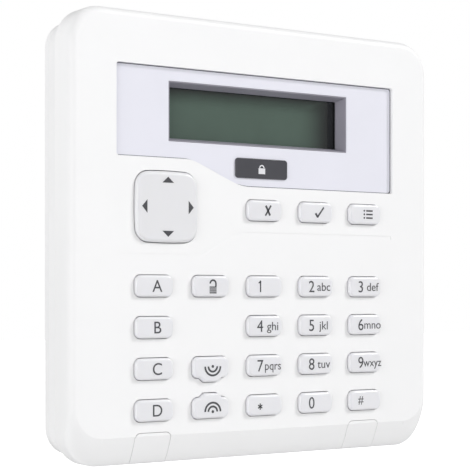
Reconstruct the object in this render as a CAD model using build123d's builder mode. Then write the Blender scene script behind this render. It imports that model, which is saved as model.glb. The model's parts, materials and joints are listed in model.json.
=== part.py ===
"""Alarm keypad panel: a wall base, a front that swings on two beads at its top edge, and the
keys, display and boards that the front carries.

The origin is the centre of the wall face, +Z is up and the front looks along -Y. Millimetres.
A depth is counted from the front face towards the wall.
"""
import os
from math import cos, radians, sin

from build123d import *

os.makedirs("parts", exist_ok=True)

# ---- the housing ----
PANEL = 151.0  # width and height of the front
THICK = 23.0  # front face to wall
WALL = 2.5  # cover skin and sides
COVER_DEPTH = 10.9  # front face to the cover's rear edge
COVER_CORNER = 12.0
ROUND_DEPTH = 3.6  # depth of the rounded front edge
ROUND_SIDE = 2.6  # how far the rounding reaches in at the top and the sides
ROUND_STEPS = 6
LOW_REACH, LOW_DEPTH, LOW_CURVE = 9.5, 4.8, 1.4  # the longer slope along the bottom, and its curve
LOW_RAISE, LOW_STEP = 3.4, 6.0  # the hollow behind that slope starts higher, down to this depth

BASE_INSET = 2.5  # base side, in from the cover's side
BASE_CORNER = 9.5
BASE_WALL = 3.4
BASE_FRONT = COVER_DEPTH + 0.2
BASE_PLATE = 2.2
FOOT_DEEP = 3.0  # the straight foot round the base, against the wall
SHOULDER_IN, SHOULDER_DEEP = 1.4, 4.0  # the slope from the foot in to the base's side
LIP_IN, LIP_HIGH = 2.0, 2.0  # the lip that the cover closes over

HINGE_Z, HINGE_DEPTH = PANEL / 2 - 1.7, COVER_DEPTH + 0.1  # the axis that the front swings about
HINGE_X, HINGE_LONG, HINGE_R, SEAT_R = 35.0, 10.0, 0.9, 1.15

# ---- keys and pad ----
PITCH_X, PITCH_Z = 22.3, 13.8
ROW_TOP = -16.1  # height of the grid's first row
ROW_FUNCTION = 10.35  # height of the function keys and of the four-way pad
KEY_W, KEY_H, KEY_CORNER = 14.4, 7.2, 2.2
KEY_GAP, KEY_PROUD, KEY_ROUND = 0.25, 1.5, 0.9
BULGE, BULGE_FOOT, BULGE_TIP, BULGE_CORNER = 1.4, 4.4, 2.6, 0.7  # of a shaped key
FLANGE_OUT, FLANGE_FRONT, FLANGE_REAR = 1.1, 2.7, 3.7
STEM_R, STEM_REAR = 2.6, 7.0

PAD_X = -39.6
PAD_W, PAD_H, PAD_CORNER, PAD_CROWN = 24.3, 23.9, 5.0, 0.5
PAD_SKIN = 0.4  # depth of the pad's underside
PAD_FLANGE_FRONT, PAD_FLANGE_REAR = 4.0, 5.0
PAD_GAP, PAD_ROUND = 0.3, 1.4  # both more than a key has: the pad tilts, and is softer
PIVOT_DEPTH = 3.6  # the pad's two axes cross here
PIN_R, PIN_PLAY, PIN_HALF, EAR_AT, EAR_THICK, EAR_HALF = 0.9, 0.1, 5.3, 4.6, 1.6, 1.7

MAT_FRONT, MAT_REAR = 7.6, 8.4
SKIRT_FRONT, SKIRT_R, SKIRT_HOLE = 5.6, 4.2, 3.2

# ---- inlay and display ----
LENS_SIDE, LENS_TOP, LENS_HIGH, LENS_LOW, LENS_CORNER = 58.1, 57.2, 27.2, 18.8, 1.0
LENS_STEP = [(-32.3, 27.2), (-25.5, 25.6), (-11.8, 19.9), (-4.9, 18.8)]
LENS_FRONT, LENS_REAR, LENS_GAP = 1.3, 3.3, 0.35
# a fine line across the face
SWOOSH = [(-58.0, -6.0), (-31.0, -6.0), (-20.0, -2.2), (-8.0, 2.0), (57.0, 2.0)]
SWOOSH_W, SWOOSH_DEEP = 1.4, 0.15
LEDGE = 4.6  # rear of the thicker wall round the inlay
WINDOW_W, WINDOW_H, WINDOW_Z = 75.6, 20.35, 42.8
BEVEL = 1.5  # how far the bezel closes in on the glass
BEZEL_FRONT, BEZEL_REAR = 1.4, 6.2
GLASS_FRONT, GLASS_REAR = 6.85, 8.0
GLASS_W, GLASS_H = 77.6, 21.4
MODULE_FRONT, MODULE_REAR = 11.6, 13.2  # the display module's board
MODULE_W, MODULE_LOW, MODULE_TOP = 96.0, 20.5, 59.5
BADGE_W, BADGE_H, BADGE_Z = 22.0, 7.0, 25.0

# ---- boards and fastenings ----
BOARD_FRONT, BOARD_REAR = 8.5, 10.1
BOARD_HALF, BOARD_TOP, BOARD_LOW = 66.0, 25.0, -63.0
BOSS_R, PILOT_R, THREAD_R = 2.6, 1.0, 0.95
BOARD_SCREWS = [(-60, -58), (60, -58), (-60, 14), (60, 14), (-PITCH_X, ROW_TOP - PITCH_Z)]
MODULE_SCREWS = [(-44, 30), (44, 30), (-44, 55.5), (44, 55.5)]

TAB_X, TAB_W, TAB_TOP, TAB_CORNER, TAB_GAP, TAB_REAR = 44.5, 14.0, -64.85, 2.0, 0.15, 4.4
BLOCK_W, BLOCK_TOP, BLOCK_REAR = 17.0, -63.4, 8.8  # the block behind each screw cap
CAP_PEG_X, CAP_PEG_R, CAP_PEG_REAR = 5.2, 0.9, 7.4
SCREW_Z = -69.0
HEAD_R, HEAD_FRONT, HEAD_REAR, SHANK_R, SHANK_REAR = 2.6, 5.2, 7.2, 1.2, 16.5
POST_R, POST_HOLE, POST_FRONT = 2.6, 1.45, 9.0

WALL_HOLES = (110.0, 100.0)
BOX_HOLES = 60.3  # spacing of a wall box's screws
HOLE_R = 2.25
ENTRY_W, ENTRY_H, ENTRY_Z = 40.0, 26.0, -25.0  # the cable's opening
TAMPER = (30.0, -40.0)
TAMPER_TRAVEL = 0.8

# ---- what the main board carries: middles on the board, and sizes ----
SOUNDER, SOUNDER_R, SOUNDER_HIGH = (-44, -40), 6.0, 6.5
CHIP, CHIP_BODY, CHIP_SPAN, CHIP_LEADS, CHIP_PITCH = (-22, -2), 14.0, 17.0, 14, 0.9
SMALL_CHIPS, SMALL_W, SMALL_H, SMALL_SPAN, SMALL_PITCH = ((4, 2), (18, 2), (4, -8)), 5.0, 4.0, 6.0, 1.27
LEAD_W, LEAD_THICK, STAND_OFF = 0.4, 0.5, 0.1
CANS, CAN_R, CAN_HIGH = [(44, -14), (53, -14)], 3.15, 7.5
REGULATOR, REGULATOR_SIZE, TAB_SIZE, LEG_SIZE, LEG_OUT = (46, 2), (6.5, 6.1), (5.2, 3.0), (0.8, 3.0), 4.0
CRYSTAL, CRYSTAL_SIZE = (-22, -17), (11.0, 4.6)
OPTION, OPTION_ROWS, PIN_PITCH, PIN_W = (-46, 0), (5, 2), 2.54, 0.64
TERMINALS, TERMINAL_Z, TERMINAL_HIGH, TERMINAL_PITCH, TERMINAL_DEEP = 6, -50.0, 9.4, 5.08, 9.0

KEYS = {
    "key_a": (-2, 0), "key_b": (-2, 1), "key_c": (-2, 2), "key_d": (-2, 3),
    "key_unlock": (-1, 0), "key_wave_upper": (-1, 2), "key_wave_lower": (-1, 3),
    "key_1": (0, 0), "key_2": (1, 0), "key_3": (2, 0),
    "key_4": (0, 1), "key_5": (1, 1), "key_6": (2, 1),
    "key_7": (0, 2), "key_8": (1, 2), "key_9": (2, 2),
    "key_star": (0, 3), "key_0": (1, 3), "key_hash": (2, 3),
    "key_cancel": (0, None), "key_enter": (1, None), "key_menu": (2, None),
}
BULGE_WAY = {"key_wave_upper": -1, "key_wave_lower": 1}


# ---- helpers ----
def at_depth(depth):
    """The plane at this depth: x to the right, y up, normal towards the front."""
    return Plane.XZ.offset(THICK - depth)


def save(builder, name):
    """Labels a finished piece and writes it."""
    builder.part.label = name
    export_step(builder.part, f"parts/{name}.step")


def plate(front, back, width, height, centre=(0, 0), corner=0.0, mode=Mode.ADD):
    """A rectangular plate between two depths, in the part being built."""
    with BuildSketch(at_depth(back)) as outline:
        with Locations(centre):
            if corner:
                RectangleRounded(width, height, corner)
            else:
                Rectangle(width, height)
    extrude(outline.sketch, amount=back - front, mode=mode)


def pegs(front, back, radius, centres, mode=Mode.ADD):
    """Round pegs between two depths, in the part being built."""
    with BuildSketch(at_depth(back)) as rounds:
        with Locations(*centres):
            Circle(radius)
    extrude(rounds.sketch, amount=back - front, mode=mode)


def prism(front, back, outline, mode=Mode.ADD):
    """An outline made solid between two depths, in the part being built."""
    extrude(at_depth(back) * outline, amount=back - front, mode=mode)


def cross_recess(plane, centres, size, low):
    """A cross recess in each screw head, cut down from this plane."""
    with BuildSketch(plane) as crosses:
        with Locations(*centres):
            Rectangle(size, size / 4)
            Rectangle(size / 4, size)
    extrude(crosses.sketch, amount=-low, mode=Mode.SUBTRACT)


def key_centre(name):
    """Where a key stands on the face."""
    column, row = KEYS[name]
    height = ROW_FUNCTION if row is None else ROW_TOP - PITCH_Z * row
    return column * PITCH_X, height


def key_outline(name, grow=0.0):
    """A key's outline, grown all round. A shaped key bulges towards its partner."""
    x, z = key_centre(name)
    with BuildSketch(mode=Mode.PRIVATE) as shape:
        with Locations((x, z)):
            RectangleRounded(KEY_W + 2 * grow, KEY_H + 2 * grow, KEY_CORNER + grow)
        if name in BULGE_WAY:
            way = BULGE_WAY[name]
            foot, edge = z + way * (KEY_H / 2 - 1), z + way * (KEY_H / 2 + grow)
            wide, tip = BULGE_FOOT + grow / 2, BULGE_TIP + grow / 2
            with BuildLine():
                left = [(x - wide, foot), (x - wide, edge), (x - tip, edge + way * BULGE)]
                right = [(x + tip, edge + way * BULGE), (x + wide, edge), (x + wide, foot)]
                Polyline(*left, *right, close=True)
            make_face()
            fillet([v for v in shape.vertices() if abs(v.X - x) < BULGE_TIP + grow], BULGE_CORNER)
    return shape.sketch


def pad_outline(grow=0.0):
    """The four-way pad's outline: four slightly bowed sides with rounded corners."""
    half_w, half_h = PAD_W / 2 + grow, PAD_H / 2 + grow
    in_w, in_h = half_w - PAD_CROWN, half_h - PAD_CROWN
    corners = [(-in_w, in_h), (in_w, in_h), (in_w, -in_h), (-in_w, -in_h)]
    bows = [(0, half_h), (half_w, 0), (0, -half_h), (-half_w, 0)]
    with BuildSketch(mode=Mode.PRIVATE) as shape:
        with BuildLine():
            for i in range(4):
                ThreePointArc(corners[i], bows[i], corners[(i + 1) % 4])
        make_face()
        fillet(shape.vertices(), PAD_CORNER + grow)
    return shape.sketch.moved(Location((PAD_X, ROW_FUNCTION)))


def lens_outline(grow=0.0):
    """The inlay's outline: a rectangle whose lower edge steps up to the left in a soft S."""
    side, top, low, high = LENS_SIDE + grow, LENS_TOP + grow, LENS_LOW - grow, LENS_HIGH - grow
    step = [(x, z - grow) for x, z in LENS_STEP]
    with BuildSketch(mode=Mode.PRIVATE) as shape:
        with BuildLine():
            Polyline(step[3], (side, low), (side, top), (-side, top), (-side, high), step[0])
            Spline(*step, tangents=[(1, 0), (1, 0)])
        make_face()
        fillet([v for v in shape.vertices() if abs(v.X) > LENS_SIDE - 1], LENS_CORNER)
    return shape.sketch


def cap_outline(side, grow=0.0):
    """A screw cap's outline, rounded at the top and running off the cover's lower edge."""
    width, low, top = TAB_W - 2 * TAB_GAP + 2 * grow, -PANEL / 2 - 1, TAB_TOP - TAB_GAP + grow
    with BuildSketch(mode=Mode.PRIVATE) as shape:
        with Locations((side * TAB_X, (top + low) / 2)):
            Rectangle(width, top - low)
        fillet(shape.vertices().group_by(Axis.Y)[-1], TAB_CORNER)
    return shape.sketch


def swoosh_outline():
    """The shallow line under the inlay, which climbs to the right in a soft S."""
    half = SWOOSH_W / 2
    upper = [(x, z + half) for x, z in SWOOSH]
    lower = [(x, z - half) for x, z in SWOOSH]
    with BuildSketch(mode=Mode.PRIVATE) as shape:
        with BuildLine():
            for start, left, middle, right, end in (upper, lower):
                Line(start, left)
                Spline(left, middle, right, tangents=[(1, 0), (1, 0)])
                Line(right, end)
            ThreePointArc(upper[0], (SWOOSH[0][0] - half, SWOOSH[0][1]), lower[0])
            ThreePointArc(upper[-1], (SWOOSH[-1][0] + half, SWOOSH[-1][1]), lower[-1])
        make_face()
    return shape.sketch


# ---- the cover ----
with BuildPart() as outer_form:
    # stacked outlines round the front edge and down the slope, then straight sides
    turns = [radians(90 * step / ROUND_STEPS) for step in range(ROUND_STEPS + 1)]
    rounding = [(ROUND_DEPTH * (1 - cos(turn)), ROUND_SIDE * (1 - sin(turn))) for turn in turns]
    for depth, side in [*rounding, ((ROUND_DEPTH + LOW_DEPTH) / 2, 0), (LOW_DEPTH, 0)]:
        low = LOW_REACH * (1 - depth / LOW_DEPTH) ** LOW_CURVE
        with BuildSketch(at_depth(depth)):
            with Locations((0, (low - side) / 2)):
                RectangleRounded(PANEL - 2 * side, PANEL - side - low, COVER_CORNER - side)
    loft()
    plate(LOW_DEPTH, COVER_DEPTH, PANEL, PANEL, corner=COVER_CORNER)

cap_pegs = {s: [(s * TAB_X - CAP_PEG_X, SCREW_Z), (s * TAB_X + CAP_PEG_X, SCREW_Z)] for s in (-1, 1)}

with BuildPart() as front_cover:
    add(outer_form.part)
    hollow, hollow_corner = PANEL - 2 * WALL, COVER_CORNER - WALL
    plate(WALL, LOW_STEP, hollow, hollow - LOW_RAISE, (0, LOW_RAISE / 2), hollow_corner, Mode.SUBTRACT)
    plate(LOW_STEP, COVER_DEPTH, hollow, hollow, corner=hollow_corner, mode=Mode.SUBTRACT)
    # the thicker wall round the inlay, bosses, and a block behind each screw cap
    prism(WALL - 0.1, LEDGE, lens_outline(1.5))
    pegs(WALL - 0.1, MODULE_FRONT, BOSS_R, MODULE_SCREWS)
    pegs(WALL - 0.1, BOARD_FRONT, BOSS_R, BOARD_SCREWS)
    block_low = -PANEL / 2 + WALL - 0.1
    for side in (-1, 1):
        block_at = (side * TAB_X, (BLOCK_TOP + block_low) / 2)
        plate(WALL - 0.1, BLOCK_REAR, BLOCK_W, BLOCK_TOP - block_low, block_at)
    add(outer_form.part, mode=Mode.INTERSECT)
    pegs(LEDGE + 1, MODULE_FRONT, PILOT_R, MODULE_SCREWS, Mode.SUBTRACT)
    pegs(WALL + 1, BOARD_FRONT, PILOT_R, BOARD_SCREWS, Mode.SUBTRACT)
    # the recess for the inlay, the display's window, and the openings for keys and pad;
    # every cut starts clear of the face, so that it never shares the face's own plane
    prism(-1, LENS_REAR, lens_outline(LENS_GAP), Mode.SUBTRACT)
    plate(LENS_REAR - 0.1, LEDGE, WINDOW_W + 0.2, WINDOW_H + 0.2, (0, WINDOW_Z), mode=Mode.SUBTRACT)
    for name in KEYS:
        prism(-1, WALL, key_outline(name, KEY_GAP), Mode.SUBTRACT)
    prism(-1, WALL, pad_outline(PAD_GAP), Mode.SUBTRACT)
    prism(-1, SWOOSH_DEEP, swoosh_outline(), Mode.SUBTRACT)
    # a pocket for each screw cap, the screw's seat, and holes for the cap's pegs
    for side in (-1, 1):
        screw = [(side * TAB_X, SCREW_Z)]
        prism(-1, TAB_REAR + 0.3, cap_outline(side, TAB_GAP), Mode.SUBTRACT)
        pegs(TAB_REAR, HEAD_REAR, HEAD_R + 0.2, screw, Mode.SUBTRACT)
        pegs(TAB_REAR, BLOCK_REAR, SHANK_R + 0.2, screw, Mode.SUBTRACT)
        pegs(TAB_REAR, CAP_PEG_REAR + 0.3, CAP_PEG_R + 0.1, cap_pegs[side], Mode.SUBTRACT)
    # the seats for the base's beads, open to the rear
    for side in (-1, 1):
        with BuildSketch(Plane.YZ.offset(side * HINGE_X - HINGE_LONG / 2 - 0.3)):
            with Locations((HINGE_DEPTH - THICK, HINGE_Z)):
                Circle(SEAT_R)
        extrude(amount=HINGE_LONG + 0.6, mode=Mode.SUBTRACT)
save(front_cover, "front_cover")

for side, where in ((-1, "left"), (1, "right")):
    with BuildPart() as cap:
        prism(-1, TAB_REAR, cap_outline(side))
        add(outer_form.part, mode=Mode.INTERSECT)
        pegs(TAB_REAR - 0.1, CAP_PEG_REAR, CAP_PEG_R, cap_pegs[side])
    save(cap, f"screw_cap_{where}")

    with BuildPart() as screw:
        pegs(HEAD_FRONT, HEAD_REAR, HEAD_R, [(side * TAB_X, SCREW_Z)])
        pegs(HEAD_REAR - 0.1, SHANK_REAR, SHANK_R, [(side * TAB_X, SCREW_Z)])
        cross_recess(at_depth(HEAD_FRONT), [(side * TAB_X, SCREW_Z)], 3.2, 1.2)
    save(screw, f"cover_screw_{where}")

# ---- inlay and display ----
with BuildPart() as display_lens:
    prism(LENS_FRONT, LENS_REAR, lens_outline(0))
    plate(LENS_FRONT, LENS_REAR, WINDOW_W, WINDOW_H, (0, WINDOW_Z), mode=Mode.SUBTRACT)
save(display_lens, "display_lens")

with BuildPart() as badge:
    plate(LENS_FRONT - 0.5, LENS_FRONT, BADGE_W, BADGE_H, (0, BADGE_Z), 1.2)
    fillet(badge.faces().sort_by(Axis.Y)[0].edges(), 0.2)
save(badge, "badge")

with BuildPart() as lcd_bezel:
    plate(BEZEL_FRONT, BEZEL_REAR, WINDOW_W - 0.2, WINDOW_H - 0.2, (0, WINDOW_Z))
    plate(LEDGE + 0.1, BEZEL_REAR, WINDOW_W + 4, WINDOW_H + 4, (0, WINDOW_Z))
    # the bevel closes in on the glass, with a short straight edge at its foot
    with BuildSketch(at_depth(BEZEL_FRONT)):
        with Locations((0, WINDOW_Z)):
            Rectangle(WINDOW_W - 0.8, WINDOW_H - 0.8)
    with BuildSketch(at_depth(BEZEL_REAR - 0.6)):
        with Locations((0, WINDOW_Z)):
            Rectangle(WINDOW_W - 2 * BEVEL, WINDOW_H - 2 * BEVEL)
    loft(mode=Mode.SUBTRACT)
    foot_w, foot_h = WINDOW_W - 2 * BEVEL, WINDOW_H - 2 * BEVEL
    plate(BEZEL_REAR - 0.7, BEZEL_REAR, foot_w, foot_h, (0, WINDOW_Z), mode=Mode.SUBTRACT)
save(lcd_bezel, "lcd_bezel")

with BuildPart() as lcd_frame:
    frame_front = BEZEL_REAR + 0.1
    plate(frame_front, MODULE_FRONT, GLASS_W + 1.6, GLASS_H + 1.6, (0, WINDOW_Z))
    plate(frame_front + 0.5, MODULE_FRONT, GLASS_W + 0.4, GLASS_H + 0.4, (0, WINDOW_Z), mode=Mode.SUBTRACT)
    plate(frame_front, MODULE_FRONT, WINDOW_W - 2, WINDOW_H - 2, (0, WINDOW_Z), mode=Mode.SUBTRACT)
save(lcd_frame, "lcd_frame")

with BuildPart() as lcd_glass:
    plate(GLASS_FRONT, GLASS_REAR, GLASS_W, GLASS_H, (0, WINDOW_Z))
save(lcd_glass, "lcd_glass")

with BuildPart() as lcd_backlight:
    plate(GLASS_REAR + 0.05, MODULE_FRONT - 0.05, GLASS_W, GLASS_H, (0, WINDOW_Z))
save(lcd_backlight, "lcd_backlight")

module_z = (MODULE_LOW + MODULE_TOP) / 2
HEADER_PINS = 16
header_z = BOARD_TOP - 2.4
header_pins = [(PIN_PITCH * (i - (HEADER_PINS - 1) / 2), header_z) for i in range(HEADER_PINS)]

with BuildPart() as lcd_board:
    plate(MODULE_FRONT, MODULE_REAR, MODULE_W, MODULE_TOP - MODULE_LOW, (0, module_z), 1.0)
    pegs(MODULE_FRONT, MODULE_REAR, 1.25, MODULE_SCREWS, Mode.SUBTRACT)
    pegs(MODULE_FRONT, MODULE_REAR, 0.5, header_pins, Mode.SUBTRACT)
save(lcd_board, "lcd_board")

with BuildPart() as lcd_header:
    plate(BOARD_REAR, MODULE_FRONT, PIN_PITCH * HEADER_PINS, 2.5, (0, header_z))
    pegs(BOARD_FRONT + 0.2, MODULE_REAR + 1, 0.32, header_pins)
save(lcd_header, "lcd_header")


def board_screws(centres, seat, tip):
    """Self-tapping screws with their heads to the rear."""
    with BuildPart() as screws:
        pegs(tip, seat + 0.1, THREAD_R, centres)
        pegs(seat, seat + 1.5, 2.1, centres)
        cross_recess(at_depth(seat + 1.5).reverse(), [(-x, z) for x, z in centres], 2.4, 0.9)
    return screws


save(board_screws(MODULE_SCREWS, MODULE_REAR, LEDGE + 1.5), "lcd_screws")
save(board_screws(BOARD_SCREWS, BOARD_REAR, WALL + 1.5), "board_screws")

# ---- keys ----
for name in KEYS:
    with BuildPart() as key:
        prism(-KEY_PROUD, FLANGE_FRONT + 0.1, key_outline(name))
        fillet(key.faces().sort_by(Axis.Y)[0].edges(), KEY_ROUND)
        prism(FLANGE_FRONT, FLANGE_REAR, key_outline(name, FLANGE_OUT))
        pegs(FLANGE_REAR - 0.1, STEM_REAR, STEM_R, [key_centre(name)])
    save(key, name)

pad_at = (PAD_X, ROW_FUNCTION)
ears_across = [(PAD_X - EAR_AT, ROW_FUNCTION), (PAD_X + EAR_AT, ROW_FUNCTION)]
ears_upright = [(PAD_X, ROW_FUNCTION - EAR_AT), (PAD_X, ROW_FUNCTION + EAR_AT)]


def pin_bores(plane, x, z, radius, mode):
    """A round bar through the point where the pad's axes cross."""
    with BuildSketch(plane) as round_bar:
        with Locations((x, z)):
            Circle(radius)
    # the holes run out through the ears, clear of the ends of the pins
    long = PIN_HALF + (1 if mode is Mode.SUBTRACT else 0)
    extrude(round_bar.sketch, amount=long, both=True, mode=mode)


across = Plane.YZ.offset(PAD_X), PIVOT_DEPTH - THICK, ROW_FUNCTION
upright = Plane.XY.offset(ROW_FUNCTION), PAD_X, PIVOT_DEPTH - THICK

with BuildPart() as nav_pad:
    prism(-KEY_PROUD, PAD_FLANGE_REAR, pad_outline())
    fillet(nav_pad.faces().sort_by(Axis.Y)[0].edges(), PAD_ROUND)
    prism(PAD_FLANGE_FRONT, PAD_FLANGE_REAR, pad_outline(FLANGE_OUT))
    prism(PAD_SKIN, PAD_FLANGE_REAR, pad_outline(-1.4), Mode.SUBTRACT)
    for ear in ears_upright:
        plate(PAD_SKIN - 0.1, PIVOT_DEPTH + 1.6, 2 * EAR_HALF, EAR_THICK, ear)
    pin_bores(*upright, PIN_R + PIN_PLAY, Mode.SUBTRACT)
save(nav_pad, "nav_pad")

with BuildPart() as nav_pillar:
    pegs(BOARD_FRONT - 1.3, BOARD_FRONT, 6.5, [pad_at])
    for ear in ears_across:
        plate(PIVOT_DEPTH - 1.5, BOARD_FRONT - 1.2, EAR_THICK, 2 * EAR_HALF, ear)
    pin_bores(*across, PIN_R + PIN_PLAY, Mode.SUBTRACT)
save(nav_pillar, "nav_pillar")

with BuildPart() as nav_gimbal:
    pin_bores(*across, PIN_R, Mode.ADD)
    pin_bores(*upright, PIN_R, Mode.ADD)
save(nav_gimbal, "nav_gimbal")

switch_spots = [(PAD_X + dx, ROW_FUNCTION + dz) for dx, dz in ((9.6, 0), (-9.6, 0), (0, 9.6), (0, -9.6))]
with BuildPart() as nav_switches:
    for spot in switch_spots:
        plate(BOARD_FRONT - 1.8, BOARD_FRONT, 4.5, 4.5, spot, 0.4)
    pegs(BOARD_FRONT - 2.4, BOARD_FRONT - 1.7, 1.1, switch_spots)
save(nav_switches, "nav_switches")

with BuildPart() as keymat:
    key_spots = [key_centre(name) for name in KEYS]
    mat_top, mat_low = ROW_FUNCTION + 6, BOARD_LOW + 0.8
    plate(MAT_FRONT, MAT_REAR, 106, mat_top - mat_low, (0, (mat_top + mat_low) / 2), 3.0)
    pegs(SKIRT_FRONT, MAT_FRONT + 0.1, SKIRT_R, key_spots)
    pegs(SKIRT_FRONT, MAT_REAR, SKIRT_HOLE, key_spots, Mode.SUBTRACT)
    pegs(MAT_FRONT, MAT_REAR, BOSS_R + 0.4, [BOARD_SCREWS[-1]], Mode.SUBTRACT)
    plate(MAT_FRONT, MAT_REAR, 25, 25, pad_at, mode=Mode.SUBTRACT)
save(keymat, "keymat")

# ---- main board and what it carries ----
with BuildPart() as main_board:
    board_z = (BOARD_TOP + BOARD_LOW) / 2
    plate(BOARD_FRONT, BOARD_REAR, 2 * BOARD_HALF, BOARD_TOP - BOARD_LOW, (0, board_z), 2.0)
    pegs(BOARD_FRONT, BOARD_REAR, 1.25, BOARD_SCREWS, Mode.SUBTRACT)
    pegs(BOARD_FRONT, BOARD_REAR, 0.5, header_pins, Mode.SUBTRACT)
save(main_board, "main_board")

with BuildPart() as sounder:
    pegs(BOARD_REAR, BOARD_REAR + SOUNDER_HIGH, SOUNDER_R, [SOUNDER])
    pegs(BOARD_REAR + SOUNDER_HIGH - 1.5, BOARD_REAR + SOUNDER_HIGH, 1.2, [SOUNDER], Mode.SUBTRACT)
save(sounder, "sounder")

with BuildPart() as controller_chip:
    plate(BOARD_REAR + STAND_OFF, BOARD_REAR + 1.5, CHIP_BODY, CHIP_BODY, CHIP, 0.3)
    for i in range(CHIP_LEADS):
        step = CHIP_PITCH * (i - (CHIP_LEADS - 1) / 2)
        plate(BOARD_REAR, BOARD_REAR + LEAD_THICK, CHIP_SPAN, LEAD_W, (CHIP[0], CHIP[1] + step))
        plate(BOARD_REAR, BOARD_REAR + LEAD_THICK, LEAD_W, CHIP_SPAN, (CHIP[0] + step, CHIP[1]))
save(controller_chip, "controller_chip")

with BuildPart() as small_chips:
    for x, z in SMALL_CHIPS:
        plate(BOARD_REAR + STAND_OFF, BOARD_REAR + 1.6, SMALL_W, SMALL_H, (x, z))
        for i in range(4):
            plate(BOARD_REAR, BOARD_REAR + LEAD_THICK, LEAD_W, SMALL_SPAN, (x + SMALL_PITCH * (i - 1.5), z))
save(small_chips, "small_chips")

with BuildPart() as capacitors:
    pegs(BOARD_REAR, BOARD_REAR + CAN_HIGH, CAN_R, CANS)
    fillet(capacitors.faces().sort_by(Axis.Y)[-2:].edges(), 0.4)
save(capacitors, "capacitors")

with BuildPart() as voltage_regulator:
    x, z = REGULATOR
    plate(BOARD_REAR, BOARD_REAR + 2.3, *REGULATOR_SIZE, REGULATOR)
    plate(BOARD_REAR, BOARD_REAR + 0.6, *TAB_SIZE, (x, z + LEG_OUT))
    for leg in (-2.3, 2.3):
        plate(BOARD_REAR, BOARD_REAR + 0.6, *LEG_SIZE, (x + leg, z - LEG_OUT))
save(voltage_regulator, "voltage_regulator")

with BuildPart() as crystal:
    plate(BOARD_REAR, BOARD_REAR + 3.5, *CRYSTAL_SIZE, CRYSTAL, 2.2)
save(crystal, "crystal")

with BuildPart() as option_header:
    plate(BOARD_REAR, BOARD_REAR + 2.5, PIN_PITCH * OPTION_ROWS[0], PIN_PITCH * OPTION_ROWS[1], OPTION)
    with BuildSketch(at_depth(BOARD_REAR + 8)):
        with Locations(OPTION):
            with GridLocations(PIN_PITCH, PIN_PITCH, *OPTION_ROWS):
                Rectangle(PIN_W, PIN_W)
    extrude(amount=6)
save(option_header, "option_header")

terminal_spots = [(TERMINAL_PITCH * (i - (TERMINALS - 1) / 2), TERMINAL_Z) for i in range(TERMINALS)]
with BuildPart() as terminal_block:
    plate(BOARD_REAR, BOARD_REAR + TERMINAL_HIGH, TERMINAL_PITCH * TERMINALS, TERMINAL_DEEP, (0, TERMINAL_Z))
    pegs(BOARD_REAR + 6, BOARD_REAR + TERMINAL_HIGH, 1.9, terminal_spots, Mode.SUBTRACT)
    # the wire entries, from above
    with BuildSketch(Plane.XY.offset(TERMINAL_Z + TERMINAL_DEEP / 2)):
        with Locations(*[(x, BOARD_REAR + 3.0 - THICK) for x, z in terminal_spots]):
            Rectangle(3.4, 3.4)
    extrude(amount=-5.5, mode=Mode.SUBTRACT)
save(terminal_block, "terminal_block")

with BuildPart() as terminal_screws:
    pegs(BOARD_REAR + 6.05, BOARD_REAR + 8.4, 1.75, terminal_spots)
    with BuildSketch(at_depth(BOARD_REAR + 8.4)):
        with Locations(*terminal_spots):
            Rectangle(3.6, 0.6)
    extrude(amount=0.8, mode=Mode.SUBTRACT)
save(terminal_screws, "terminal_screws")

with BuildPart() as tamper_switch:
    plate(BOARD_REAR, BOARD_REAR + 3.6, 6.2, 6.2, TAMPER, 0.5)
    pegs(BOARD_REAR + 0.8, BOARD_REAR + 3.6, 1.6, [TAMPER], Mode.SUBTRACT)
save(tamper_switch, "tamper_switch")

plunger_rear = BOARD_REAR + 6.1
with BuildPart() as tamper_plunger:
    pegs(BOARD_REAR + 0.9 + TAMPER_TRAVEL, plunger_rear, 1.5, [TAMPER])
    fillet(tamper_plunger.faces().sort_by(Axis.Y)[-1].edges(), 0.3)
save(tamper_plunger, "tamper_plunger")

# ---- the wall base ----
base_size = PANEL - 2 * BASE_INSET
foot_front = THICK - FOOT_DEEP
shoulder_front = foot_front - SHOULDER_DEEP
posts = [(-TAB_X, SCREW_Z), (TAB_X, SCREW_Z)]


def base_plate(front, back, inset, mode=Mode.ADD):
    """The base's outline, drawn in by this much, between two depths."""
    size = base_size - 2 * inset
    plate(front, back, size, size, corner=BASE_CORNER - inset, mode=mode)


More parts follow.
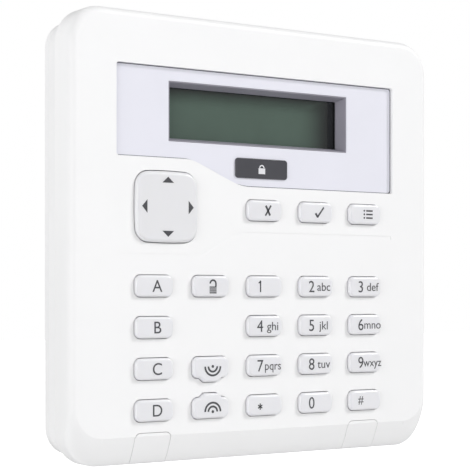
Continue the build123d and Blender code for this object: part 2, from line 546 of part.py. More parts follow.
with BuildPart() as rear_base:
    # a straight foot, the slope in to the side, the side, the lip, and the hollow inside
    base_plate(foot_front, THICK, 0)
    with BuildSketch(at_depth(foot_front)):
        RectangleRounded(base_size, base_size, BASE_CORNER)
    with BuildSketch(at_depth(shoulder_front)):
        slim = base_size - 2 * SHOULDER_IN
        RectangleRounded(slim, slim, BASE_CORNER - SHOULDER_IN)
    loft()
    base_plate(BASE_FRONT, shoulder_front, SHOULDER_IN)
    base_plate(BASE_FRONT - LIP_HIGH, BASE_FRONT, LIP_IN)
    base_plate(BASE_FRONT - LIP_HIGH, THICK - BASE_PLATE, BASE_WALL, Mode.SUBTRACT)
    # posts for the cover screws and the tamper switch, and ribs across the plate
    pegs(POST_FRONT, THICK - BASE_PLATE + 0.1, POST_R, posts)
    pegs(plunger_rear + 0.2, THICK - BASE_PLATE + 0.1, 2.5, [TAMPER])
    for x in (-42, 42):
        plate(THICK - BASE_PLATE - 1.0, THICK - BASE_PLATE + 0.1, 1.4, 110, (x, 5))
    pegs(POST_FRONT, SHANK_REAR + 1, POST_HOLE, posts, Mode.SUBTRACT)
    # openings in the plate
    with BuildSketch(at_depth(THICK)):
        with GridLocations(*WALL_HOLES, 2, 2):
            Circle(HOLE_R)
        with Locations((0, ENTRY_Z)):
            RectangleRounded(ENTRY_W, ENTRY_H, 3.0)
            with GridLocations(BOX_HOLES, 1, 2, 1):
                Circle(HOLE_R)
    extrude(amount=BASE_PLATE + 2, mode=Mode.SUBTRACT)
    # the beads that the front hangs on, each on a short neck
    for side in (-1, 1):
        with BuildSketch(Plane.YZ.offset(side * HINGE_X - HINGE_LONG / 2)):
            with Locations((HINGE_DEPTH - THICK, HINGE_Z)):
                Circle(HINGE_R)
            with Locations((HINGE_DEPTH - THICK + 1.8, HINGE_Z - 1.5)):
                Rectangle(3.6, 2.8)
        extrude(amount=HINGE_LONG)
save(rear_base, "rear_base")
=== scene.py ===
# %% [markdown]
# # An alarm keypad panel
# The real panel is a square white housing that hangs on a wall. Its front is one thin moulding with a
# recessed inlay, a deep display window, a four-way pad and rows of milky key caps. The CAD model holds the
# housing, the boards and everything that moves. This script gives each of those pieces its finish, and
# models by hand what the eye rests on: the soft key caps, the printed marks, the dark strip round the inlay,
# the padlock on the badge, and the smallest parts on the boards.

# %% Load the fixed frame
import json
import math

import bmesh
import bpy
from mathutils import Matrix, Vector


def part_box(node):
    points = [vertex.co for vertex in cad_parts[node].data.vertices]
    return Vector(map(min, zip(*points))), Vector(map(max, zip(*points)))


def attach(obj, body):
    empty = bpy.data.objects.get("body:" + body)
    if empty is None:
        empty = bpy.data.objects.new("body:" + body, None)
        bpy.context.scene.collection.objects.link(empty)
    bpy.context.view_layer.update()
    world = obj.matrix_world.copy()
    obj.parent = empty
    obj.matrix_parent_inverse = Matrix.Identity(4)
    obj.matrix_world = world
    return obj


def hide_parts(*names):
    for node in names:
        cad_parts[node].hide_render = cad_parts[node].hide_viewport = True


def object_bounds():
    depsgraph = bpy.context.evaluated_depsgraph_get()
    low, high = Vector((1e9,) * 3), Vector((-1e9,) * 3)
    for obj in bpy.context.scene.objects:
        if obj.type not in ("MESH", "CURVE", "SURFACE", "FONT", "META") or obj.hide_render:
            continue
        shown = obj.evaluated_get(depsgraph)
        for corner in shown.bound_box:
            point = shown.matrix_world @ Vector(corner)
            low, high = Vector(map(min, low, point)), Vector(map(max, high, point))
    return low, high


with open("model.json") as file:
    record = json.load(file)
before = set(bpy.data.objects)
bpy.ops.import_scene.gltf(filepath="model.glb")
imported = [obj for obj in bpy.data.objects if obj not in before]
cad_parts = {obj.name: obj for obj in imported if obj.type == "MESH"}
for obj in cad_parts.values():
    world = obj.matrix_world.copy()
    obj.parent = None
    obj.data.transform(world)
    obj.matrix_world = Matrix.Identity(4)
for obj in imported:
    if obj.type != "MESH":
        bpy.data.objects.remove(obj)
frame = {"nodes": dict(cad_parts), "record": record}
cad_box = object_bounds()
nodes = frame["nodes"]
print("CAD nodes:", len(nodes), "box:", [tuple(round(c, 4) for c in corner) for corner in cad_box])

# %% [markdown]
# ## Small helpers
# Everything below is modelled with Blender's operators, as one would by hand: add a primitive, enter edit
# mode, select faces or edges by their place, and extrude, inset or bevel them. Operators act on whatever is
# selected, so each helper first clears the selection. Lengths are written in millimetres and turned to
# metres.

# %% Units and selection
MM = 0.001


def only(piece):
    """Selects this piece alone and makes it the active one."""
    bpy.ops.object.select_all(action="DESELECT")
    piece.select_set(True)
    bpy.context.view_layer.objects.active = piece


def pick(piece, kind, wanted):
    """In edit mode, selects the faces, edges or vertices for which wanted(element) is true."""
    bpy.ops.mesh.select_mode(type=kind)
    bpy.ops.mesh.select_all(action="DESELECT")
    mesh = bmesh.from_edit_mesh(piece.data)
    elements = {"FACE": mesh.faces, "EDGE": mesh.edges, "VERT": mesh.verts}[kind]
    for element in elements:
        if wanted(element):
            element.select_set(True)
    mesh.select_flush_mode()
    bmesh.update_edit_mesh(piece.data)


def settle(piece):
    """Applies a piece's place, so that its object sits at the origin and its place is in its mesh."""
    only(piece)
    bpy.ops.object.transform_apply(location=True, rotation=True, scale=True)


def join(pieces, name):
    """Joins pieces into one, which takes this name."""
    bpy.ops.object.select_all(action="DESELECT")
    for piece in pieces:
        piece.select_set(True)
    bpy.context.view_layer.objects.active = pieces[0]
    if len(pieces) > 1:
        bpy.ops.object.join()
    joined = bpy.context.active_object
    joined.name = name
    return joined


def place_copy(source, name, offset):
    """A copy of a finished piece with its own mesh, moved in the mesh itself."""
    twin = bpy.data.objects.new(name, source.data.copy())
    bpy.context.scene.collection.objects.link(twin)
    twin.data.transform(Matrix.Translation(offset))
    return twin


def dress(piece, material):
    """Gives a piece one material all over."""
    piece.data.materials.clear()
    piece.data.materials.append(material)

# %% [markdown]
# ## The camera
# The panel is seen from its left at about its own mid height, with upright edges that stay upright. So the
# camera looks level, turned towards the panel, and its lens is shifted up a little instead of tilted.

# %% Camera
CAMERA_SPOT = Vector((-295.2, -447.9, -19.1)) * MM
CAMERA_TURN = math.radians(33.7)
LENS, SENSOR, SHIFT_UP = 113.4, 36.0, 0.1277
camera = bpy.data.cameras.new("camera")
camera.lens = LENS
camera.sensor_width = SENSOR
camera.shift_y = SHIFT_UP
camera_object = bpy.data.objects.new("camera", camera)
camera_object.location = CAMERA_SPOT
camera_object.rotation_euler = (math.radians(90), 0, -CAMERA_TURN)
bpy.context.scene.collection.objects.link(camera_object)
bpy.context.scene.camera = camera_object
print("camera at", tuple(camera_object.location))

# %% [markdown]
# ## Stage and light
# White plastic on a pale ground needs light with one clear direction, or its edges vanish. A small light
# stands high on the right, so the left and lower edges of keys fall into shade and the inlay's recess shows
# its depth. A broad light on the left lifts the side and the rounded edge, and an even pale surround fills
# the rest. The floor lies well below the panel, which hangs on a wall in use.

# %% Floor
FLOOR_SIZE, FLOOR_DROP = 6.0, 60 * MM
bpy.ops.mesh.primitive_plane_add(size=FLOOR_SIZE, location=(0, 0, cad_box[0][2] - FLOOR_DROP))
floor = bpy.context.active_object
floor.name = "floor"
floor_finish = bpy.data.materials.new("pale_floor")
floor_finish.use_nodes = True
floor_shader = floor_finish.node_tree.nodes["Principled BSDF"]
floor_shader.inputs["Base Color"].default_value = (0.80, 0.80, 0.80, 1)
floor_shader.inputs["Roughness"].default_value = 0.9
floor_shader.inputs["Emission Color"].default_value = (1, 1, 1, 1)
# It shows as white but lights the panel only by what it reflects.
floor_ray = floor_finish.node_tree.nodes.new("ShaderNodeLightPath")
floor_links = floor_finish.node_tree.links
floor_links.new(floor_ray.outputs["Is Camera Ray"], floor_shader.inputs["Emission Strength"])
dress(floor, floor_finish)
settle(floor)


# %% Lights
def soft_light(name, spot, size, power, tone=(1, 1, 1)):
    """A large square light that faces the middle of the panel."""
    light = bpy.data.lights.new(name, "AREA")
    light.shape = "SQUARE"
    light.size = size
    light.energy = power
    light.color = tone
    holder = bpy.data.objects.new(name, light)
    holder.location = spot
    holder.rotation_euler = (-Vector(spot)).to_track_quat("-Z", "Y").to_euler()
    bpy.context.scene.collection.objects.link(holder)


soft_light("main_light", (1.7, -1.3, 1.35), 0.5, 32.5)
soft_light("left_fill", (-0.9, -0.5, -0.1), 0.8, 7.6)
soft_light("rear_fill", (-0.5, 0.9, 0.5), 0.9, 2.0)

# The surround shows as plain white, and lights the panel less than it shows.
SURROUND = 0.49
world = bpy.data.worlds.new("pale_surround")
world.use_nodes = True
world_nodes, world_links = world.node_tree.nodes, world.node_tree.links
shown, lighting = world_nodes["Background"], world_nodes.new("ShaderNodeBackground")
shown.inputs["Color"].default_value = (1, 1, 1, 1)
lighting.inputs["Color"].default_value = (1, 1, 1, 1)
lighting.inputs["Strength"].default_value = SURROUND
ray, either = world_nodes.new("ShaderNodeLightPath"), world_nodes.new("ShaderNodeMixShader")
world_links.new(ray.outputs["Is Camera Ray"], either.inputs["Fac"])
world_links.new(lighting.outputs["Background"], either.inputs[1])
world_links.new(shown.outputs["Background"], either.inputs[2])
world_links.new(either.outputs["Shader"], world_nodes["World Output"].inputs["Surface"])
bpy.context.scene.world = world
bpy.context.scene.view_settings.view_transform = "Standard"

# %% [markdown]
# ## Finishes
# Each finish is a small node tree on Object coordinates, in metres, so a pattern keeps its real scale on
# every piece. Moulded plastic has a fine spark-eroded grain, a faint cloudiness in its colour and a slightly
# uneven gloss, and all three come from noise at the right size.


# %% A helper for finishes
def finish(
    name, colour, roughness, grain=0.0, grain_size=0.35, cloud=0.02, metallic=0.0, coat=0.0, milk=0.0
):
    """A material with grain, cloudy colour and uneven gloss. grain is the bump's height in millimetres."""
    material = bpy.data.materials.new(name)
    material.use_nodes = True
    tree = material.node_tree
    shader = tree.nodes["Principled BSDF"]
    shader.inputs["Metallic"].default_value = metallic
    shader.inputs["Coat Weight"].default_value = coat
    shader.inputs["Coat Roughness"].default_value = 0.12
    if milk:
        shader.inputs["Subsurface Weight"].default_value = milk
        shader.inputs["Subsurface Radius"].default_value = (1.0, 1.0, 1.1)
        shader.inputs["Subsurface Scale"].default_value = 1.2 * MM
    place = tree.nodes.new("ShaderNodeTexCoord")

    clouds = tree.nodes.new("ShaderNodeTexNoise")
    clouds.inputs["Scale"].default_value = 60
    clouds.inputs["Detail"].default_value = 3
    tree.links.new(place.outputs["Object"], clouds.inputs["Vector"])
    tones = tree.nodes.new("ShaderNodeValToRGB")
    tones.color_ramp.elements[0].position, tones.color_ramp.elements[1].position = 0.3, 0.7
    for stop, lift in zip(tones.color_ramp.elements, (1 - cloud, 1 + cloud)):
        stop.color = (*[min(1.0, c * lift) for c in colour], 1)
    tree.links.new(clouds.outputs["Fac"], tones.inputs["Fac"])
    tree.links.new(tones.outputs["Color"], shader.inputs["Base Color"])

    gloss = tree.nodes.new("ShaderNodeMapRange")
    gloss.inputs["To Min"].default_value = roughness * 0.9
    gloss.inputs["To Max"].default_value = min(1.0, roughness * 1.1)
    tree.links.new(clouds.outputs["Fac"], gloss.inputs["Value"])
    tree.links.new(gloss.outputs["Result"], shader.inputs["Roughness"])

    if grain:
        speck = tree.nodes.new("ShaderNodeTexNoise")
        speck.inputs["Scale"].default_value = 1 / (grain_size * MM)
        speck.inputs["Detail"].default_value = 2
        bump = tree.nodes.new("ShaderNodeBump")
        bump.inputs["Strength"].default_value = 1.0
        bump.inputs["Distance"].default_value = grain * MM
        tree.links.new(place.outputs["Object"], speck.inputs["Vector"])
        tree.links.new(speck.outputs["Fac"], bump.inputs["Height"])
        tree.links.new(bump.outputs["Normal"], shader.inputs["Normal"])
    return material


# %% Painted shade on a display, towards two edges
def paint_edge_shade(material, right, top, reach):
    """Paints shade into a finish, standing in for the shadow of a deep window's walls: darker smoothly from
    reach metres inside x = right and from a third of reach inside z = top.
    """
    tree = material.node_tree
    shader = tree.nodes["Principled BSDF"]
    plain = shader.inputs["Base Color"].links[0].from_socket
    place = tree.nodes.new("ShaderNodeTexCoord")
    parts = tree.nodes.new("ShaderNodeSeparateXYZ")
    tree.links.new(place.outputs["Object"], parts.inputs["Vector"])
    sides = []
    for axis, edge, depth in (("X", right, reach), ("Z", top, reach / 3)):
        fade = tree.nodes.new("ShaderNodeMapRange")
        fade.interpolation_type = "SMOOTHSTEP"
        fade.inputs["From Min"].default_value = edge - depth
        fade.inputs["From Max"].default_value = edge
        tree.links.new(parts.outputs[axis], fade.inputs["Value"])
        sides.append(fade.outputs["Result"])
    stronger = tree.nodes.new("ShaderNodeMath")
    stronger.operation = "MAXIMUM"
    tree.links.new(sides[0], stronger.inputs[0])
    tree.links.new(sides[1], stronger.inputs[1])
    shade_blend = tree.nodes.new("ShaderNodeMix")
    shade_blend.data_type = "RGBA"
    # The dark colour of the painted shade.
    shade_blend.inputs["B"].default_value = (0.012, 0.014, 0.015, 1)
    tree.links.new(stronger.outputs["Value"], shade_blend.inputs["Factor"])
    tree.links.new(plain, shade_blend.inputs["A"])
    tree.links.new(shade_blend.outputs["Result"], shader.inputs["Base Color"])


# %% The finishes of this panel
FINISHES = {
    "cover_plastic": finish("white_moulded", (0.90, 0.90, 0.905), 0.42, grain=0.006, cloud=0.004),
    "base_plastic": finish("white_moulded_base", (0.88, 0.88, 0.885), 0.5, grain=0.008, cloud=0.006),
    "key_plastic": finish("milky_key", (0.79, 0.79, 0.815), 0.3, cloud=0.01, coat=0.3, milk=0.3),
    "pad_plastic": finish("milky_pad", (0.78, 0.78, 0.80), 0.33, cloud=0.01, coat=0.25, milk=0.3),
    "inlay": finish("lavender_inlay", (0.80, 0.80, 0.875), 0.3, cloud=0.01, coat=0.4),
    "badge_black": finish("badge_lacquer", (0.05, 0.05, 0.06), 0.25, cloud=0.05, coat=0.6),
    "bezel_grey": finish("bezel_grey", (0.30, 0.29, 0.34), 0.5, grain=0.006, cloud=0.04),
    "display_glass": finish("display_glass", (0.072, 0.110, 0.088), 0.12, cloud=0.06, coat=0.2),
    "sheet_steel": finish("sheet_steel", (0.45, 0.45, 0.46), 0.35, metallic=1.0, cloud=0.1),
    "light_guide": finish("light_guide", (0.70, 0.78, 0.66), 0.25, cloud=0.03, milk=0.2),
    "circuit_board": finish(
        "solder_mask", (0.012, 0.13, 0.05), 0.35, grain=0.01, grain_size=0.8, cloud=0.15, coat=0.3
    ),
    "header_black": finish("header_black", (0.03, 0.03, 0.032), 0.45, grain=0.01, cloud=0.1),
    "screw_steel": finish("screw_zinc", (0.62, 0.62, 0.64), 0.3, metallic=1.0, cloud=0.15, grain=0.01),
    "silicone": finish("grey_silicone", (0.42, 0.43, 0.47), 0.6, cloud=0.05, milk=0.1),
    "component_black": finish("component_black", (0.025, 0.025, 0.028), 0.5, grain=0.015, cloud=0.1),
    "can_aluminium": finish("drawn_can", (0.75, 0.75, 0.77), 0.25, metallic=1.0, cloud=0.08),
    "terminal_green": finish("terminal_green", (0.02, 0.26, 0.09), 0.4, grain=0.01, cloud=0.08),
    "gimbal_steel": finish("gimbal_steel", (0.6, 0.6, 0.62), 0.25, metallic=1.0, cloud=0.08),
}
# The display glass gets painted shade along its right and top edges, where the bezel's walls would shade it.
paint_edge_shade(FINISHES["display_glass"], 35 * MM, 52.5 * MM, 15 * MM)
for part in frame["record"]["subparts"]:
    dress(nodes[part["node"]], FINISHES[part["material_slot"]])
print("finishes:", len(FINISHES))

# %% [markdown]
# ## Soft key caps
# Twenty of the keys share one cap: a milky plastic button with well rounded rims, and a thin flange behind
# the face that keeps it in its hole. It starts as the flange, a flat cube with rounded corners. The cap
# grows out of it by an inset and an extrusion, and its front rim gets a wide bevel. The stem is added
# behind.

# %% Where things are
FACE = -23 * MM
COLUMN, ROW = 22.3 * MM, 13.8 * MM
GRID_TOP, FUNCTION_ROW = -16.1 * MM, 10.35 * MM
KEY_TOP = FACE - 1.5 * MM


def key_place(column, row):
    """The middle of a key on the face. Row None is the row of function keys above the grid."""
    height = FUNCTION_ROW if row is None else GRID_TOP - ROW * row
    return Vector((column * COLUMN, 0, height))


PLAIN_KEYS = {
    "key_a": (-2, 0), "key_b": (-2, 1), "key_c": (-2, 2), "key_d": (-2, 3), "key_unlock": (-1, 0),
    "key_1": (0, 0), "key_2": (1, 0), "key_3": (2, 0), "key_4": (0, 1), "key_5": (1, 1), "key_6": (2, 1),
    "key_7": (0, 2), "key_8": (1, 2), "key_9": (2, 2),
    "key_star": (0, 3), "key_0": (1, 3), "key_hash": (2, 3),
    "key_cancel": (0, None), "key_enter": (1, None), "key_menu": (2, None),
}
WAVE_KEYS = {"key_wave_upper": (-1, 2), "key_wave_lower": (-1, 3)}

# %% One cap
CAP_W, CAP_H, FLANGE = 14.4 * MM, 7.2 * MM, 1.1 * MM
FLANGE_FRONT, FLANGE_REAR = FACE + 2.7 * MM, FACE + 3.7 * MM
FLANGE_CORNER, RIM_ROUND = 3.3 * MM, 0.9 * MM
STEM_R, STEM_REAR = 2.6 * MM, FACE + 7.0 * MM
STEM_LONG = STEM_REAR - FLANGE_REAR + 0.3 * MM
bpy.ops.mesh.primitive_cube_add(size=1, location=(0, (FLANGE_FRONT + FLANGE_REAR) / 2, 0))
cap = bpy.context.active_object
cap.name = "cap_pattern"
cap.scale = (CAP_W + 2 * FLANGE, FLANGE_REAR - FLANGE_FRONT, CAP_H + 2 * FLANGE)
settle(cap)
bpy.ops.object.mode_set(mode="EDIT")
pick(cap, "EDGE", lambda e: abs(e.verts[0].co.y - e.verts[1].co.y) > 0.5 * MM)
bpy.ops.mesh.bevel(offset=FLANGE_CORNER, segments=8, affect="EDGES")
pick(cap, "FACE", lambda f: f.normal.y < -0.9)
bpy.ops.mesh.inset(thickness=FLANGE)
bpy.ops.mesh.extrude_region_move(TRANSFORM_OT_translate={"value": (0, KEY_TOP - FLANGE_FRONT, 0)})
pick(cap, "EDGE", lambda e: max(v.co.y for v in e.verts) < KEY_TOP + 0.1 * MM)
bpy.ops.mesh.bevel(offset=RIM_ROUND, segments=6, affect="EDGES")
bpy.ops.mesh.primitive_cylinder_add(
    vertices=40, radius=STEM_R, depth=STEM_LONG, location=(0, STEM_REAR - STEM_LONG / 2, 0),
    rotation=(math.radians(90), 0, 0))
bpy.ops.object.mode_set(mode="OBJECT")
bpy.ops.object.shade_smooth_by_angle(angle=math.radians(30))
dress(cap, FINISHES["key_plastic"])

for name, spot in PLAIN_KEYS.items():
    twin = place_copy(cap, "cap_" + name, key_place(*spot))
    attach(twin, name)
    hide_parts(name)
bpy.data.objects.remove(cap)
print("caps:", len(PLAIN_KEYS))

# %% [markdown]
# ## Printed marks
# The marks are thin dark ink on the caps. Letters and digits start as text, which is turned into mesh before
# anything else is done to it. The symbols are made of three simple shapes: straight bars, pieces of a ring,
# and discs. Every mark is drawn round the origin, laid on the face, and joined into one piece for each key.

# %% Ink and its shapes
CAPITAL = 0.682  # a capital's height as a part of the font's size
INK = finish("grey_ink", (0.06, 0.06, 0.068), 0.5, cloud=0.05)
INK_THICK = 0.03 * MM


def letters(text, height, x=0.0, z=0.0, wide=1.0):
    """Text whose capitals are this high, its middle at x and its foot at z. Millimetres."""
    bpy.ops.object.text_add(location=(0, 0, 0))
    piece = bpy.context.active_object
    piece.data.body = text
    piece.data.size = height * MM / CAPITAL
    piece.data.align_x = "CENTER"
    piece.data.extrude = INK_THICK / 2
    bpy.ops.object.convert(target="MESH")
    piece.scale = (wide, 1, 1)
    piece.rotation_euler = (math.radians(90), 0, 0)
    piece.location = (x * MM, 0, z * MM)
    settle(piece)
    return piece


def bar(x0, z0, x1, z1, width):
    """A straight bar between two points. Millimetres."""
    centre = ((x0 + x1) / 2 * MM, 0, (z0 + z1) / 2 * MM)
    slope = math.atan2(z1 - z0, x1 - x0)
    bpy.ops.mesh.primitive_cube_add(size=1, location=centre, rotation=(0, -slope, 0))
    piece = bpy.context.active_object
    piece.scale = (math.hypot(x1 - x0, z1 - z0) * MM, INK_THICK, width * MM)
    settle(piece)
    return piece


def ring_part(x, z, radius, width, start, end):
    """A piece of a flat ring between two angles, in degrees from the right. radius is its outer one."""
    bpy.ops.mesh.primitive_cylinder_add(
        vertices=60, radius=radius * MM, depth=INK_THICK, location=(x * MM, 0, z * MM),
        rotation=(math.radians(90), 0, 0))
    piece = bpy.context.active_object
    settle(piece)
    bpy.ops.object.mode_set(mode="EDIT")
    pick(piece, "FACE", lambda f: abs(f.normal.y) > 0.9)
    bpy.ops.mesh.inset(thickness=width * MM)
    bpy.ops.mesh.bridge_edge_loops()

    def outside(face):
        centre = face.calc_center_median()
        angle = math.degrees(math.atan2(centre.z - z * MM, centre.x - x * MM)) % 360
        return not start <= angle <= end

    pick(piece, "FACE", outside)
    bpy.ops.mesh.delete(type="FACE")
    bpy.ops.object.mode_set(mode="OBJECT")
    return piece


def disc(x, z, radius, corners=32, turn=0.0, stretch=(1, 1)):
    """A flat disc, or a polygon with this many corners. Millimetres."""
    bpy.ops.mesh.primitive_cylinder_add(
        vertices=corners, radius=radius * MM, depth=INK_THICK, rotation=(math.radians(90), 0, 0))
    piece = bpy.context.active_object
    settle(piece)
    piece.rotation_euler = (0, -math.radians(turn), 0)
    piece.scale = (stretch[0], 1, stretch[1])
    piece.location = (x * MM, 0, z * MM)
    settle(piece)
    return piece


def print_on(name, shapes, spot, top, body, material=INK):
    """Joins shapes into one printed mark, lays it on a face and lets it ride there."""
    mark = join(shapes, name)
    mark.location = (spot.x, top - INK_THICK / 2, spot.z)
    settle(mark)
    dress(mark, material)
    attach(mark, body)
    return mark

# %% Letters and digits
LETTER_HIGH, LETTER_X = 3.9, 0.8
DIGIT_HIGH, DIGIT_X, DIGIT_WIDE = 4.0, -2.3, 0.95
SMALL_HIGH, SMALL_X, SMALL_FOOT = 2.9, 3.1, -1.5
HASH_HIGH, HASH_FOOT = 3.0, -1.2
STAR_Z, STAR_RAYS = -0.4, ((0, 1.1), (0.9, 0.55), (0.9, -0.55))

for name in ("key_a", "key_b", "key_c", "key_d"):
    letter = letters(name[-1].upper(), LETTER_HIGH, LETTER_X, -LETTER_HIGH / 2)
    print_on("mark_" + name, [letter], key_place(*PLAIN_KEYS[name]), KEY_TOP, name)

DIGITS = {
    "key_1": ("1", ""), "key_2": ("2", "abc"), "key_3": ("3", "def"), "key_4": ("4", "ghi"),
    "key_5": ("5", "jkl"), "key_6": ("6", "mno"), "key_7": ("7", "pqrs"), "key_8": ("8", "tuv"),
    "key_9": ("9", "wxyz"), "key_star": ("*", ""), "key_0": ("0", ""), "key_hash": ("#", ""),
}
for name, (digit, small) in DIGITS.items():
    if digit == "1":
        # The font's own 1 is a plain bar, so this one is drawn with its flag.
        shapes = [bar(-2.15, -2.0, -2.15, 2.0, 0.5), bar(-2.9, 1.15, -2.05, 1.85, 0.45)]
    elif digit == "*":
        shapes = [bar(DIGIT_X - x, STAR_Z - z, DIGIT_X + x, STAR_Z + z, 0.42) for x, z in STAR_RAYS]
    elif digit == "#":
        shapes = [letters(digit, HASH_HIGH, DIGIT_X, HASH_FOOT, DIGIT_WIDE)]
    else:
        shapes = [letters(digit, DIGIT_HIGH, DIGIT_X, -DIGIT_HIGH / 2, DIGIT_WIDE)]
    if small:
        wide = 1.04 if len(small) == 3 else 0.95
        shapes.append(letters(small, SMALL_HIGH, SMALL_X, SMALL_FOOT, wide))
    print_on("mark_" + name, shapes, key_place(*PLAIN_KEYS[name]), KEY_TOP, name)
print("letters on", 4 + len(DIGITS), "keys")

# %% Symbols on the function keys
cross = [bar(-0.1, -1.8, 2.3, 1.8, 0.6), bar(0.1, 1.7, 1.9, -1.7, 0.75)]
print_on("mark_key_cancel", cross, key_place(*PLAIN_KEYS["key_cancel"]), KEY_TOP, "key_cancel")

tick = [bar(-0.6, -0.3, 0.4, -1.7, 0.75), bar(0.25, -1.7, 3.1, 1.9, 0.6)]
print_on("mark_key_enter", tick, key_place(*PLAIN_KEYS["key_enter"]), KEY_TOP, "key_enter")

MENU_LINES = (1.3, 0.0, -1.3)
menu = [bar(0.2, z, 3.2, z, 0.55) for z in MENU_LINES]
menu += [disc(-0.7, z, 0.36) for z in MENU_LINES]
print_on("mark_key_menu", menu, key_place(*PLAIN_KEYS["key_menu"]), KEY_TOP, "key_menu")

# An open padlock with a striped body.
opened = [bar(-0.9, z, 1.9, z, 0.42) for z in (-0.3, -0.95, -1.6, -2.25)]
opened.append(ring_part(0.5, 0.9, 1.45, 0.6, 0, 180))
opened.append(bar(1.65, 0.95, 1.65, -0.1, 0.6))
print_on("mark_key_unlock", opened, key_place(*PLAIN_KEYS["key_unlock"]), KEY_TOP, "key_unlock")

# %% Symbols on the two shaped keys
for name, way in (("key_wave_upper", -1), ("key_wave_lower", 1)):
    first_angle = 0 if way > 0 else 180
    foot = -1.3 if way > 0 else 0.3
    shapes = [disc(0.4, foot, 0.5)]
    for radius in (2.1, 3.4):
        shapes.append(ring_part(0.4, foot, radius, 0.65, first_angle, first_angle + 180))
    print_on("mark_" + name, shapes, key_place(*WAVE_KEYS[name]), KEY_TOP, name)
print("symbols on 6 keys")

# %% Arrows on the pad
PAD = Vector((-39.6 * MM, 0, FUNCTION_ROW))
ARROW_OUT, ARROW_R, ARROW_STRETCH = 8.7, 1.33, (1.95, 1)
arrows = []
for turn in (0, 90, 180, 270):
    across, up = -math.sin(math.radians(turn)) * ARROW_OUT, math.cos(math.radians(turn)) * ARROW_OUT
    arrows.append(disc(across, up, ARROW_R, corners=3, turn=turn, stretch=ARROW_STRETCH))
print_on("pad_arrows", arrows, PAD, KEY_TOP, "nav_pad")

# %% [markdown]
# ## The dark strip round the inlay
# The inlay lies in a shallow recess, and a thin dark grey strip fills the gap round it, drawing a dark line
# at its edge. It starts as a flat rectangle. Its lower edge is cut into many short ones, and the corners
# between them are lowered one by one along the soft S. An inset leaves the strip's ring, the middle is
# deleted, and the ring is extruded back.

# %% Dark strip
LENS_SIDE, LENS_LOW, LENS_TOP = 58.1, 18.8, 57.2
STEP = [(-32.3, 27.2), (-25.5, 25.6), (-11.8, 19.9), (-4.9, 18.8)]
STEP_SLOPES = [0.0, -0.356, -0.330, 0.0]
GAP = 0.32


def low_edge(x):
    """Height of the inlay's lower edge at x, in millimetres: flat, a soft S, and flat again."""
    if x <= STEP[0][0]:
        return STEP[0][1]
    for i in range(3):
        (x0, z0), (x1, z1) = STEP[i], STEP[i + 1]
        if x <= x1:
            t, run = (x - x0) / (x1 - x0), x1 - x0
            rise = (2 * t**3 - 3 * t**2 + 1) * z0 + (3 * t**2 - 2 * t**3) * z1
            return rise + run * ((t**3 - 2 * t**2 + t) * STEP_SLOPES[i] + (t**3 - t**2) * STEP_SLOPES[i + 1])
    return LENS_LOW


CUTS, STRIP_DEEP = 95, 1.2 * MM
strip_low, strip_high = STEP[0][1] - GAP, LENS_TOP + GAP
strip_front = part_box("display_lens")[0][1] - 0.05 * MM
bpy.ops.mesh.primitive_plane_add(
    size=1, location=(0, strip_front, (strip_low + strip_high) / 2 * MM), rotation=(math.radians(90), 0, 0))
gap_strip = bpy.context.active_object
gap_strip.name = "inlay_gap_strip"
gap_strip.scale = ((LENS_SIDE + GAP) * 2 * MM, (strip_high - strip_low) * MM, 1)
settle(gap_strip)
bpy.ops.object.mode_set(mode="EDIT")
pick(gap_strip, "EDGE", lambda e: max(v.co.z for v in e.verts) < (strip_low + 1) * MM)
bpy.ops.mesh.subdivide(number_cuts=CUTS)
spots = sorted({v.co.x for v in bmesh.from_edit_mesh(gap_strip.data).verts})
for x in spots:
    drop = low_edge(x / MM) - STEP[0][1]
    if drop < 0:
        pick(gap_strip, "VERT", lambda v: abs(v.co.x - x) < 0.1 * MM and v.co.z < (strip_low + 1) * MM)
        bpy.ops.transform.translate(value=(0, 0, drop * MM))
bpy.ops.mesh.select_all(action="SELECT")
bpy.ops.mesh.inset(thickness=GAP * MM, use_even_offset=True)
bpy.ops.mesh.delete(type="FACE")
bpy.ops.mesh.select_all(action="SELECT")
bpy.ops.mesh.extrude_region_move(TRANSFORM_OT_translate={"value": (0, STRIP_DEEP, 0)})
bpy.ops.mesh.select_all(action="SELECT")
bpy.ops.mesh.normals_make_consistent(inside=False)
bpy.ops.object.mode_set(mode="OBJECT")
# A dark grey that draws the line at the inlay's edge.
dress(gap_strip, finish("gap_strip_grey", (0.16, 0.16, 0.19), 0.5, cloud=0.05))
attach(gap_strip, "front")
print("seal:", len(gap_strip.data.polygons), "faces")

# %% [markdown]
# ## The badge
# A small dark plate under the display carries a plain padlock in pale metal.

# %% Padlock on the badge
pale_mark = finish("pale_mark", (0.75, 0.75, 0.78), 0.3, cloud=0.03)
badge_spot = Vector((0, 0, 25 * MM))
badge_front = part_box("badge")[0][1]
padlock = [bar(-1.4, -0.8, 1.4, -0.8, 2.0), ring_part(0, 0.3, 1.1, 0.4, 0, 180)]
print_on("badge_padlock", padlock, badge_spot, badge_front, "front", pale_mark)

# %% [markdown]
# ## Small parts on the boards
# With the front swung up, the boards show. The header's pins are soldered through the display's board, each
# in a small bright cone. The main board carries rows of tiny resistors: a dark cube cut twice near its ends,
# so that the two end bands can take a second, metal finish.

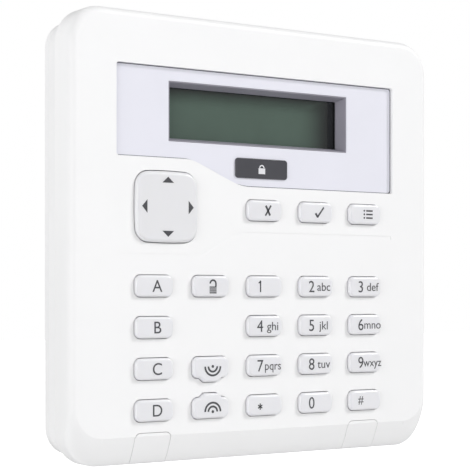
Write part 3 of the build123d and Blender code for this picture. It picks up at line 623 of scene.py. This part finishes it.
# %% Solder on the display's board
display_board_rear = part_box("lcd_board")[1][1]
HEADER_PINS, PIN_PITCH, HEADER_Z = 16, 2.54 * MM, 22.6 * MM
cones = []
for i in range(HEADER_PINS):
    bpy.ops.mesh.primitive_cone_add(
        vertices=20, radius1=0.85 * MM, radius2=0.38 * MM, depth=0.7 * MM,
        location=(PIN_PITCH * (i - (HEADER_PINS - 1) / 2), display_board_rear + 0.34 * MM, HEADER_Z),
        rotation=(math.radians(-90), 0, 0))
    bpy.ops.object.shade_smooth_by_angle(angle=math.radians(40))
    cones.append(bpy.context.active_object)
solder = join(cones, "header_solder")
settle(solder)
dress(solder, finish("bright_solder", (0.68, 0.68, 0.70), 0.3, metallic=1.0, cloud=0.1))
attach(solder, "front")
print("solder joints:", HEADER_PINS)

# %% Resistors on the main board
main_board_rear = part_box("main_board")[1][1]
RESISTOR = (2.0 * MM, 0.6 * MM, 1.25 * MM)
END_BAND = 0.65 * MM
bpy.ops.mesh.primitive_cube_add(size=1, location=(0, main_board_rear + RESISTOR[1] / 2 - 0.01 * MM, 0))
resistor = bpy.context.active_object
resistor.scale = RESISTOR
settle(resistor)
dress(resistor, FINISHES["component_black"])
resistor.data.materials.append(solder.data.materials[0])
bpy.ops.object.mode_set(mode="EDIT")
for side in (-1, 1):
    bpy.ops.mesh.select_all(action="SELECT")
    bpy.ops.mesh.bisect(plane_co=(side * END_BAND, 0, 0), plane_no=(1, 0, 0))
pick(resistor, "FACE", lambda f: abs(f.calc_center_median().x) > END_BAND)
resistor.active_material_index = 1
bpy.ops.object.material_slot_assign()
bpy.ops.object.mode_set(mode="OBJECT")

ROWS = {12: range(-10, 31, 5), -16: range(0, 26, 5), -17: (-31, -13), -42: (-10, -5, 5, 10)}
resistors = []
for z, xs in ROWS.items():
    for x in xs:
        resistors.append(place_copy(resistor, "resistor", Vector((x * MM, 0, z * MM))))
bpy.data.objects.remove(resistor)
resistors = join(resistors, "resistors")
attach(resistors, "front")
print("resistors:", sum(len(xs) for xs in ROWS.values()))
